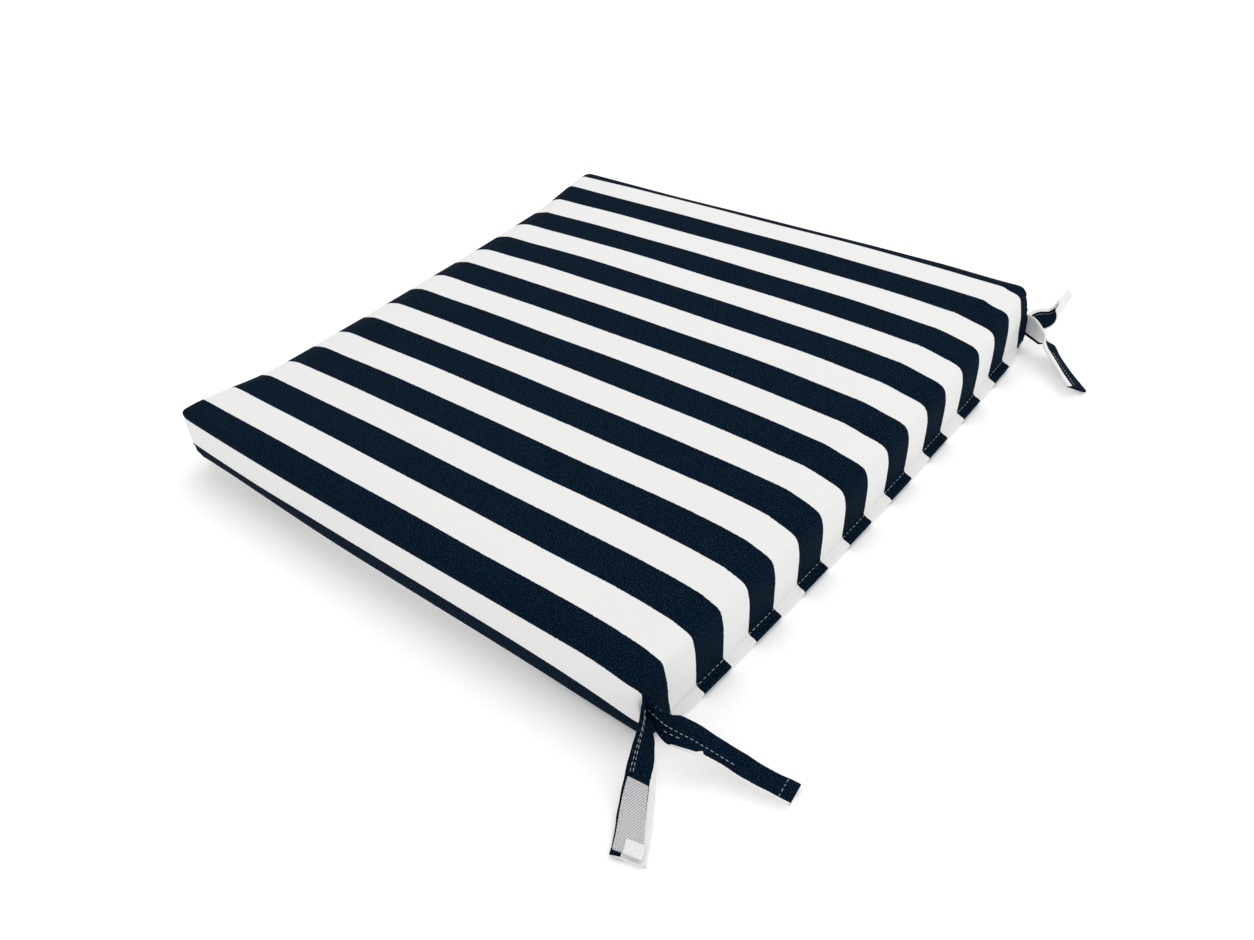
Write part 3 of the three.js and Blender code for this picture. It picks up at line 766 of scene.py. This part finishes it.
# One tie has a nick in its white edge, and one ends in white but for a navy corner
NICK_AT, NICK = {"tie_right_back": 31.0}, 1.8
WHITE_END, NAVY_CORNER = {"tie_right_side": 3.4}, 4.6


def around(width):
    """Points round the strip's section, as (u, n): across the strip and out of its middle."""
    half, thick = width / 2, TIE_THICKNESS / 2
    flat = np.linspace(-1, 1, FACE_POINTS)
    edge_b = [(-half - bulge + EDGE_INSET, -n * thick) for n, bulge in EDGE_ROUND]
    upper = [(-u * (half - FACE_INSET), thick * (1 - FACE_THINNING * u ** 6)) for u in flat]
    lower = [(-u, -n) for u, n in upper]
    edge_a = [(half + bulge - EDGE_INSET, n * thick) for n, bulge in EDGE_ROUND]
    return upper + edge_b + lower + edge_a


def navy_span(name, run, width):
    """Where the navy starts and ends round the strip, from edge A."""
    wrap = WRAPS[name]
    nick = NICK * math.exp(-(run - NICK_AT[name]) ** 2) if name in NICK_AT else 0.0
    far = (wrap["past_b_far"] - wrap["past_b"]) * smoothstep(run, *FAR_FROM_ROOT)
    return wrap["from_a"], width + (wrap["past_b"] + far - nick)


def phase_share(name, run):
    # Near the root the phase is squeezed towards the navy: painted shade between the right ties.
    root = ROOT_NAVY_SHADE.get(name, 1.0)
    return root + (1 - root) * smoothstep(run, *ROOT_SHADE_FADE)


def phase_at(name, length, run, width, u, n):
    """The pattern's phase at a point of the strip's section."""
    on_navy = n * WRAPS[name]["navy_face"] >= 0
    w = width / 2 - u if on_navy else width * 1.5 + u
    if run > length - WHITE_END.get(name, 0.0) and NAVY_CORNER < w < width:
        return 1.0
    first, last = navy_span(name, run, width)
    from_middle = w - (first + last) / 2
    from_middle -= 2 * width * round(from_middle / (2 * width))
    return phase_share(name, run) * from_middle / (last - first)


print("points round a tie:", len(around(TIES["tie_right_side"][0][4])))

# %% [markdown]
# The sections are joined to a closed strip. It starts a little inside the seam, and small
# waves keep its faces and edges from looking ruled. Across a face of the mesh the phase must
# not jump, so each corner's phase is brought next to that of the face's first corner.

# %% Wrap the strips
ROOT_INSIDE = 2.5
EDGE_WAVE, EDGE_RIPPLE, FACE_WAVE = 0.25, 0.15, 0.16


def wrap_strip(name):
    rows, upper_is_navy = tie_rows(name), WRAPS[name]["navy_face"] > 0
    sections, maps = [], []
    length = rows["run"][-1]
    slant = END_SLANT if name == "tie_right_side" else 0.0
    runs = [-ROOT_INSIDE, *rows["run"]]
    for run in runs:
        width = row_at(rows, run)["width"]
        wave = EDGE_WAVE * math.sin(run / 4.1 + len(name)) + EDGE_RIPPLE * math.sin(run / 1.9)
        ring, cloth = [], []
        for u, n in around(width):
            lift = FACE_WAVE * math.sin(run / 5.3 + u / 3.0) if abs(u) < width / 2 - 1 else 0.0
            place = slanted(rows, run, u, slant * (run / length) ** 2)
            ring.append(tie_point(place, u + wave * u / width, n + lift))
            cloth.append((phase_at(name, length, run, width, u, n), run))
        sections.append(ring)
        maps.append(cloth)
    count = len(sections[0])
    points = np.array(sections).reshape(-1, 3)
    faces, corners = [], []
    for i in range(len(sections) - 1):
        for j in range(count):
            k = (j + 1) % count
            spots = [(i, j), (i + 1, j), (i + 1, k), (i, k)]
            faces.append([a * count + b for a, b in spots])
            phases = np.array([maps[a][b] for a, b in spots])
            width = row_at(rows, runs[i])["width"]
            first, last = navy_span(name, runs[i], width)
            period = phase_share(name, runs[i]) * 2 * width / (last - first)
            phases[:, 0] -= period * np.round((phases[:, 0] - phases[0, 0]) / period)
            corners.append(phases)
    for i, flip in ((0, True), (len(sections) - 1, False)):
        half = count // 2
        for j in range(half - 1):
            quad = [(i, j), (i, j + 1), (i, count - 2 - j), (i, count - 1 - j)]
            quad = quad[::-1] if flip else quad
            faces.append([a * count + b for a, b in quad])
            shown = (j, j + 1) if upper_is_navy else (count - 1 - j, count - 2 - j)
            looks = [maps[i][shown[0]], maps[i][shown[1]], maps[i][shown[1]], maps[i][shown[0]]]
            corners.append(np.array(looks[::-1] if flip else looks))
    made = mesh_object(name + "_cloth", points * MM, faces)
    phase, along = np.concatenate(corners).T
    map_cloth(made, np.stack([(FIRST_STRIPE_EDGE + STRIPE * (phase + 0.5)) / MM, along], axis=1))
    made.data.materials.append(CANVAS)
    print(made.name, round(length, 1), "mm long,", len(faces), "faces")
    return made


strips = {name: wrap_strip(name) for name in TIES}

# %% [markdown]
# ## Touch tape
# A grey woven tape with a fine diagonal rib is sewn on the upper face of the tie at the right
# side, and a small soft white patch near its end. Both are thin pads that follow the tie, and
# their rims are thinner, because they are pressed and sewn down.

# %% Tape and patch
TAPE_THICKNESS, TAPE_WIDTH, TAPE_LENGTH, TAPE_INSET, TAPE_END_GAP = 1.2, 11.0, 36.0, 0.9, 2.0
# The tape widens by this much towards its end
TAPE_SPREAD = 3.0
# Sewn down, the tape and the patch lie on what is under them, and the pile leans over the end
SEWN_DOWN = 0.28
PILE_LEAN = 1.2
PATCH_THICKNESS, PATCH_WIDTH, PATCH_LENGTH = 0.8, 9.4, 7.6
PATCH_SIDE_INSET, PATCH_END_INSET, PATCH_CROWN = 4.2, 0.5, 0.3
SEWN_GAP = 0.3
# The share of a pad's thickness at its rim, and the distances in which it rises from there
RIM_SHARE, RIM_RISE = 0.45, (-0.4, 0.9)


def flat_pad(name, start, end, inset, width, foot, thick, spread=0.0, crown=0.0):
    """A pad on the right side's tie, between two lengths along it and inset from its edge A."""
    rows = tie_rows("tie_right_side")
    long_steps, wide_steps = 40, 14

    def at(i, j, layer):
        return (i * (wide_steps + 1) + j) * 2 + layer

    points, faces, spots = [], [], []
    for i in range(long_steps + 1):
        for j in range(wide_steps + 1):
            share, place = i / long_steps, j / wide_steps
            run = start + (end - start) * share
            wide = width + spread * share
            u = row_at(rows, run)["width"] / 2 - inset - place * wide
            row = slanted(rows, run, u, END_SLANT)
            from_rim = min(share, 1 - share) * (end - start), min(place, 1 - place) * wide
            risen = float(smoothstep(min(from_rim), *RIM_RISE))
            for layer in (0, 1):
                n = foot + (thick * (RIM_SHARE + (1 - RIM_SHARE) * risen) if layer else -SEWN_DOWN)
                points.append(tie_point(row, u, n + layer * crown * risen))
                spots.append((place * wide, share * (end - start)))
    for i in range(long_steps):
        for j in range(wide_steps):
            faces.append([at(i, j, 1), at(i + 1, j, 1), at(i + 1, j + 1, 1), at(i, j + 1, 1)])
            faces.append([at(i, j, 0), at(i, j + 1, 0), at(i + 1, j + 1, 0), at(i + 1, j, 0)])
        for j, low in ((0, 0), (wide_steps, 1)):
            faces.append([at(i, j, low), at(i + 1, j, low), at(i + 1, j, 1 - low), at(i, j, 1 - low)])
    for j in range(wide_steps):
        for i, low in ((0, 1), (long_steps, 0)):
            faces.append([at(i, j, low), at(i, j + 1, low), at(i, j + 1, 1 - low), at(i, j, 1 - low)])
    made = mesh_object(name, np.array(points) * MM, faces)
    map_cloth(made, [spots[v] for face in faces for v in face])
    return made


tie_end = tie_rows("tie_right_side")["run"][-1]
tape_foot = TIE_THICKNESS / 2 + SEWN_GAP
tape_end = tie_end - TAPE_END_GAP
tape = flat_pad("tape_ribbed", tape_end - TAPE_LENGTH, tape_end, TAPE_INSET, TAPE_WIDTH,
                tape_foot, TAPE_THICKNESS, spread=TAPE_SPREAD)
patch_end = tape_end - PATCH_END_INSET + PILE_LEAN
patch_inset = TAPE_INSET + PATCH_SIDE_INSET + PILE_LEAN
soft = flat_pad("patch_soft", patch_end - PATCH_LENGTH, patch_end, patch_inset, PATCH_WIDTH,
                tape_foot + TAPE_THICKNESS + SEWN_GAP, PATCH_THICKNESS, crown=PATCH_CROWN)
print("tape and patch laid on the tie")

# %% [markdown]
# The tape is woven polyamide: fairly matt, with a dry sheen on its ribs. The ribs run across
# it at a slant. They are drawn 1 mm apart, coarser than real, so that they show. The patch is
# brushed polyester pile, white and very matt, with tufts of about 1 mm.

# %% Tape and pile finishes
RIB_PITCH, RIB_DEPTH = 1.0 * MM, 0.25 * MM
RIB_SLANT = math.radians(55)
TUFT_SIZE, TUFT_DEPTH = 1.11 * MM, 0.4 * MM
FLUFF_SIZE = 0.714 * MM


def woven_tape():
    material, tree, shader = blank_finish("woven_polyamide_tape")
    cloth = add(tree, "ShaderNodeUVMap", uv_map="cloth")
    parts = add(tree, "ShaderNodeSeparateXYZ", {"Vector": cloth})
    sideways = add(tree, "ShaderNodeMath", {0: parts.outputs["X"], 1: math.sin(RIB_SLANT)},
                   operation="MULTIPLY")
    slant = add(tree, "ShaderNodeMath", {0: parts.outputs["Y"], 1: math.cos(RIB_SLANT), 2: sideways},
                operation="MULTIPLY_ADD")
    turns = add(tree, "ShaderNodeMath", {0: slant, 1: 2 * math.pi / RIB_PITCH}, operation="MULTIPLY")
    rib = add(tree, "ShaderNodeMath", {0: turns}, operation="SINE")
    fluff = add(tree, "ShaderNodeTexNoise", {"Vector": cloth, "Scale": 1 / FLUFF_SIZE, "Detail": 2.0})
    height = add(tree, "ShaderNodeMath", {0: rib, 1: 0.5, 2: fluff}, operation="MULTIPLY_ADD")
    # The colour follows the ribs' height: lighter rib tops are painted highlight and darker grooves painted
    # shade, mottled at random by the fluff.
    rib_highlight_and_shade = add(tree, "ShaderNodeMapRange", {"Value": height, 1: -0.1, 2: 1.1})
    colour = add(tree, "ShaderNodeMix", {0: rib_highlight_and_shade, 6: linear("#95969A"), 7: linear("#DCDCDE")},
                 data_type="RGBA")
    tree.links.new(colour.outputs[2], shader.inputs["Base Color"])
    bump = add(tree, "ShaderNodeBump", {"Strength": 0.6, "Distance": RIB_DEPTH, "Height": height})
    tree.links.new(bump.outputs["Normal"], shader.inputs["Normal"])
    shader.inputs["Roughness"].default_value = 0.7
    shader.inputs["Sheen Weight"].default_value = 0.15
    return material


def brushed_pile():
    material, tree, shader = blank_finish("brushed_polyester_pile")
    cloth = add(tree, "ShaderNodeUVMap", uv_map="cloth")
    tufts = add(tree, "ShaderNodeTexNoise", {"Vector": cloth, "Scale": 1 / TUFT_SIZE, "Detail": 4.0})
    # Greyer in the dips between the tufts, where the bump is low: painted shade.
    colour = add(tree, "ShaderNodeMix", {0: tufts, 6: linear("#D4D4D4"), 7: linear("#F8F8F7")},
                 data_type="RGBA")
    tree.links.new(colour.outputs[2], shader.inputs["Base Color"])
    bump = add(tree, "ShaderNodeBump", {"Strength": 0.7, "Distance": TUFT_DEPTH, "Height": tufts})
    tree.links.new(bump.outputs["Normal"], shader.inputs["Normal"])
    shader.inputs["Roughness"].default_value = 0.95
    shader.inputs["Sheen Weight"].default_value = 0.4
    return material


tape.data.materials.append(woven_tape())
soft.data.materials.append(brushed_pile())
print("tape ribs every", RIB_PITCH / MM, "mm")

# %% [markdown]
# ## Thread
# Every seam that shows is a lockstitch in white polyester thread: short dashes of one length
# with a small gap between. A Geometry Nodes tree lays one rounded dash at each step of a
# line, turned along the line and lying on the cloth. The tree is built once and used for the
# hem, the ties and the tape, because only the lines and the stitch length differ.

# %% A tree that sews along a line
SHORTEST, LONGEST = 0.85, 1.15


def stitch_tree():
    tree = bpy.data.node_groups.new("sew_along_a_line", "GeometryNodeTree")
    ports = dict(Geometry="Geometry", Pitch="Float", Stitch="Float", Thread="Float", Seed="Int",
                 Material="Material")
    for name, kind in ports.items():
        tree.interface.new_socket(name, in_out="INPUT", socket_type="NodeSocket" + kind)
    tree.interface.new_socket("Geometry", in_out="OUTPUT", socket_type="NodeSocketGeometry")
    given = add(tree, "NodeGroupInput").outputs
    line = add(tree, "GeometryNodeMeshToCurve", {"Mesh": given["Geometry"]})
    spots = add(tree, "GeometryNodeResampleCurve", {"Curve": line, "Length": given["Pitch"]}, mode="LENGTH")
    tangent = add(tree, "GeometryNodeInputTangent")
    up = add(tree, "GeometryNodeInputNamedAttribute", {"Name": "up"}, data_type="FLOAT_VECTOR")
    along = add(tree, "FunctionNodeAlignRotationToVector", {"Vector": tangent}, axis="X")
    lying = add(tree, "FunctionNodeAlignRotationToVector",
                {"Rotation": along, "Vector": up}, axis="Z", pivot_axis="X")
    half = add(tree, "ShaderNodeMath", {0: given["Stitch"], 1: 0.5}, operation="MULTIPLY")
    size = add(tree, "ShaderNodeCombineXYZ", {0: half, 1: given["Thread"], 2: given["Thread"]})
    bead = add(tree, "GeometryNodeMeshUVSphere", {"Segments": 8, "Rings": 6, "Radius": 1.0})
    dash = add(tree, "GeometryNodeTransform", {"Geometry": bead, "Scale": size})
    smooth = add(tree, "GeometryNodeSetShadeSmooth", {"Geometry": dash})
    uneven = add(tree, "FunctionNodeRandomValue", {2: SHORTEST, 3: LONGEST, "Seed": given["Seed"]},
                 data_type="FLOAT")
    laid = add(tree, "GeometryNodeInstanceOnPoints",
               {"Points": spots, "Instance": smooth, "Rotation": lying,
                "Scale": uneven.outputs[1]})
    real = add(tree, "GeometryNodeRealizeInstances", {"Geometry": laid})
    dressed = add(tree, "GeometryNodeSetMaterial", {"Geometry": real, "Material": given["Material"]})
    add(tree, "NodeGroupOutput", {"Geometry": dressed})
    return tree


SEWING = stitch_tree()
print("the sewing tree has", len(SEWING.nodes), "nodes")

# %% [markdown]
# The thread is spun polyester: a dull white, painted a slight grey as shade where its plies turn, about
# every 0.4 mm.

# %% Thread, and sewing with it
PLY_LENGTH = 0.4 * MM
THREAD_RADIUS = 0.12


def thread_finish():
    material, tree, shader = blank_finish("spun_polyester_thread")
    place = add(tree, "ShaderNodeTexCoord")
    twist = add(tree, "ShaderNodeTexNoise", {"Vector": place.outputs["Object"], "Scale": 1 / PLY_LENGTH})
    # Greyer where the plies turn: painted shade in the twist.
    colour = add(tree, "ShaderNodeMix", {0: twist, 6: linear("#B2B6BA"), 7: linear("#E6E7E8")},
                 data_type="RGBA")
    tree.links.new(colour.outputs[2], shader.inputs["Base Color"])
    shader.inputs["Roughness"].default_value = 0.6
    return material


THREAD = thread_finish()


def sew(name, lines, pitch, stitch, thread=THREAD_RADIUS, seed=1):
    """Sews along lines, each a list of (point, normal) in millimetres."""
    mesh = bpy.data.meshes.new(name)
    points, edges, ups = [], [], []
    for line in lines:
        first = len(points)
        points += [tuple(np.array(p) * MM) for p, _ in line]
        ups += [tuple(n) for _, n in line]
        edges += [(first + i, first + i + 1) for i in range(len(line) - 1)]
    mesh.from_pydata(points, edges, [])
    up = mesh.attributes.new("up", "FLOAT_VECTOR", "POINT")
    up.data.foreach_set("vector", np.array(ups, float).reshape(-1))
    made = bpy.data.objects.new(name, mesh)
    bpy.context.scene.collection.objects.link(made)
    sewing = made.modifiers.new("sewing", "NODES")
    sewing.node_group = SEWING
    values = {"Pitch": pitch * MM, "Stitch": stitch * MM, "Thread": thread * MM, "Seed": seed,
              "Material": THREAD}
    for socket in SEWING.interface.items_tree:
        if socket.in_out == "INPUT" and socket.name in values:
            sewing[socket.identifier] = values[socket.name]
    plain_mesh(made)
    print(name, len(made.data.polygons), "faces")
    return made


print("thread", 2 * THREAD_RADIUS, "mm thick")

# %% [markdown]
# The hem is topstitched 2 mm above the fold that hides its raw edge. The line is found on the
# finished cloth itself, by the nearest point, so the thread lies in the dip that it makes.

# %% Topstitch the hem
HEM_PITCH, HEM_STITCH = 3.4, 2.4
# Columns left free at each end of the hem, and sewn twice at its near end
HEM_ENDS, TACKED = 4, 12
TACK_RISE = 1.0
surface = BVHTree.FromObject(cover, bpy.context.evaluated_depsgraph_get())
stitch_level = len(FOOT_ROWS) - 1
back_run = RUNS[1][HEM_ENDS:-HEM_ENDS]


def on_cover(points):
    line = []
    for point in points:
        spot, normal, _, _ = surface.find_nearest(Vector(point) * MM)
        line.append((np.array(spot) / MM + np.array(normal) * THREAD_RADIUS, normal))
    return line


hem_line = on_cover([rings[stitch_level, column] for column in back_run])
back_tack = on_cover([rings[stitch_level, column] + [0, 0, TACK_RISE] for column in back_run[:TACKED]])
hem_thread = sew("thread_hem", [hem_line, back_tack], HEM_PITCH, HEM_STITCH, seed=3)

# %% [markdown]
# One or two rows of stitches show on each tie, and a short row turns in the end of one. Each
# row is a few places (length along the tie, distance from edge A across the navy face).

# %% Stitch the ties
TIE_PITCH, TIE_STITCH = 2.6, 1.9
TIE_ROWS = {
    "tie_right_side": [[(4, 2.0), (29, 1.5)], [(6, 3.4), (29, 3.1)]],
    "tie_right_back": [[(1, 5.2), (6, 5.8), (18, 7.8), (30, 9.2), (48, 9.3)], [(12, 9.8), (19, 10.0)]],
    "tie_left_side": [[(2, 3.6), (40, 3.6)]],
    "tie_left_back": [[(30, 6.0), (62, 6.0)]],
}
END_SEAM_AT, END_SEAM = 6.0, (2.0, 12.0)
ALONG_STEP, ACROSS_STEP = 1.0, 0.8
TIE_LIFT = 0.16


def on_tie(name, places, lift=TIE_LIFT, slant=0.0):
    rows, face = tie_rows(name), WRAPS[name]["navy_face"]
    line = []
    for run, w in places:
        u = row_at(rows, run)["width"] / 2 - w
        row = slanted(rows, run, u, slant)
        at = tie_point(row, u, face * (TIE_THICKNESS / 2 + lift))
        line.append((at, at - tie_point(row, u, 0)))
    return line


def tie_thread(name):
    end = tie_rows(name)["run"][-1]
    lines = []
    for row in TIE_ROWS[name]:
        runs = np.arange(row[0][0], row[-1][0], ALONG_STEP)
        lines.append(on_tie(name, list(zip(runs, np.interp(runs, *zip(*row))))))
    if name == "tie_right_back":
        lines.append(on_tie(name, [(end - END_SEAM_AT, w) for w in np.arange(*END_SEAM, ACROSS_STEP)]))
    return sew("thread_" + name, lines, TIE_PITCH, TIE_STITCH, seed=len(name))


threads = {name: tie_thread(name) for name in TIES}

# %% [markdown]
# One line of stitches runs round the tape, just inside its edges. The tape widens towards its
# end, and so does the line. Its thread is drawn thicker than real, or it would not show.

# %% Stitch the tape
TAPE_SEAM = 1.0
TAPE_THREAD, TAPE_LIFT = 0.26, 0.2
left, right = TAPE_INSET + TAPE_SEAM, TAPE_INSET + TAPE_WIDTH - TAPE_SEAM
near_end, far_end = tape_end - TAPE_SEAM, tape_end - TAPE_LENGTH + TAPE_SEAM
tape_top = tape_foot + TAPE_THICKNESS - TIE_THICKNESS / 2 + TAPE_LIFT
around_tape = [(run, left) for run in np.arange(near_end, far_end, -ALONG_STEP)]
around_tape += [(far_end, w) for w in np.arange(left, right, ACROSS_STEP)]
spread = TAPE_SPREAD / (near_end - far_end)
around_tape += [(run, right + spread * (run - far_end)) for run in np.arange(far_end, near_end, ALONG_STEP)]
around_tape += [(near_end, w) for w in np.arange(right + TAPE_SPREAD, left, -ACROSS_STEP)]
tape_thread = sew("thread_tape", [on_tie("tie_right_side", around_tape, tape_top, END_SLANT)],
                  TIE_PITCH, TIE_STITCH, thread=TAPE_THREAD)

# %% [markdown]
# ## Floor and light
# The photograph has a white floor that runs out of sight and soft light from all round, with most of it from
# above and behind the left side. A large area lamp gives the soft shadows, and an even white world fills
# them. The floor is matt white paper that glows a little, as painted light for a studio sweep lit from
# below, and that glow keeps the shadows pale.

# %% Studio
FLOOR_SIZE, FLOOR_DROP = 6.0, 0.5 * MM
WORLD_STRENGTH = 0.91
WINDOW_PLACE, WINDOW_SIZE, WINDOW_POWER = (-1.2, 0.4, 1.9), 1.8, 11.4
PAPER_GLOW = 0.12
spread_out = [(x * FLOOR_SIZE, y * FLOOR_SIZE, -FLOOR_DROP) for x, y in ((-1, -1), (1, -1), (1, 1), (-1, 1))]
floor = mesh_object("floor", spread_out, [(0, 1, 2, 3)])
paper, _, shader = blank_finish("matt_white_paper")
# The paper's emission is painted light: the floor glows and pales its shadows.
for key, value in (("Base Color", linear("#FFFFFF")), ("Roughness", 1.0),
                   ("Emission Color", linear("#FFFFFF")), ("Emission Strength", PAPER_GLOW)):
    shader.inputs[key].default_value = value
floor.data.materials.append(paper)
bpy.context.scene.view_settings.view_transform = "Standard"

world = bpy.data.worlds.new("even_white")
bpy.context.scene.world = world
world.use_nodes = True
world.node_tree.nodes["Background"].inputs["Color"].default_value = (1, 1, 1, 1)
world.node_tree.nodes["Background"].inputs["Strength"].default_value = WORLD_STRENGTH

window = bpy.data.objects.new("window", bpy.data.lights.new("window", "AREA"))
window.data.size, window.data.energy = WINDOW_SIZE, WINDOW_POWER
window.location = WINDOW_PLACE
window.rotation_euler = (-Vector(WINDOW_PLACE)).to_track_quat("-Z", "Y").to_euler()
bpy.context.scene.collection.objects.link(window)
print("window lamp", round(Vector(WINDOW_PLACE).length, 2), "m away")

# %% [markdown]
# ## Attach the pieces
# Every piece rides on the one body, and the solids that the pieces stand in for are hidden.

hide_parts("cushion")
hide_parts("touch_tape")
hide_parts("soft_patch")
for piece in (cover, tape, soft, hem_thread, tape_thread, *threads.values(), *strips.values()):
    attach(piece, "root")
for name, strip in strips.items():
    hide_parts(name)
    rows = tie_rows(name)
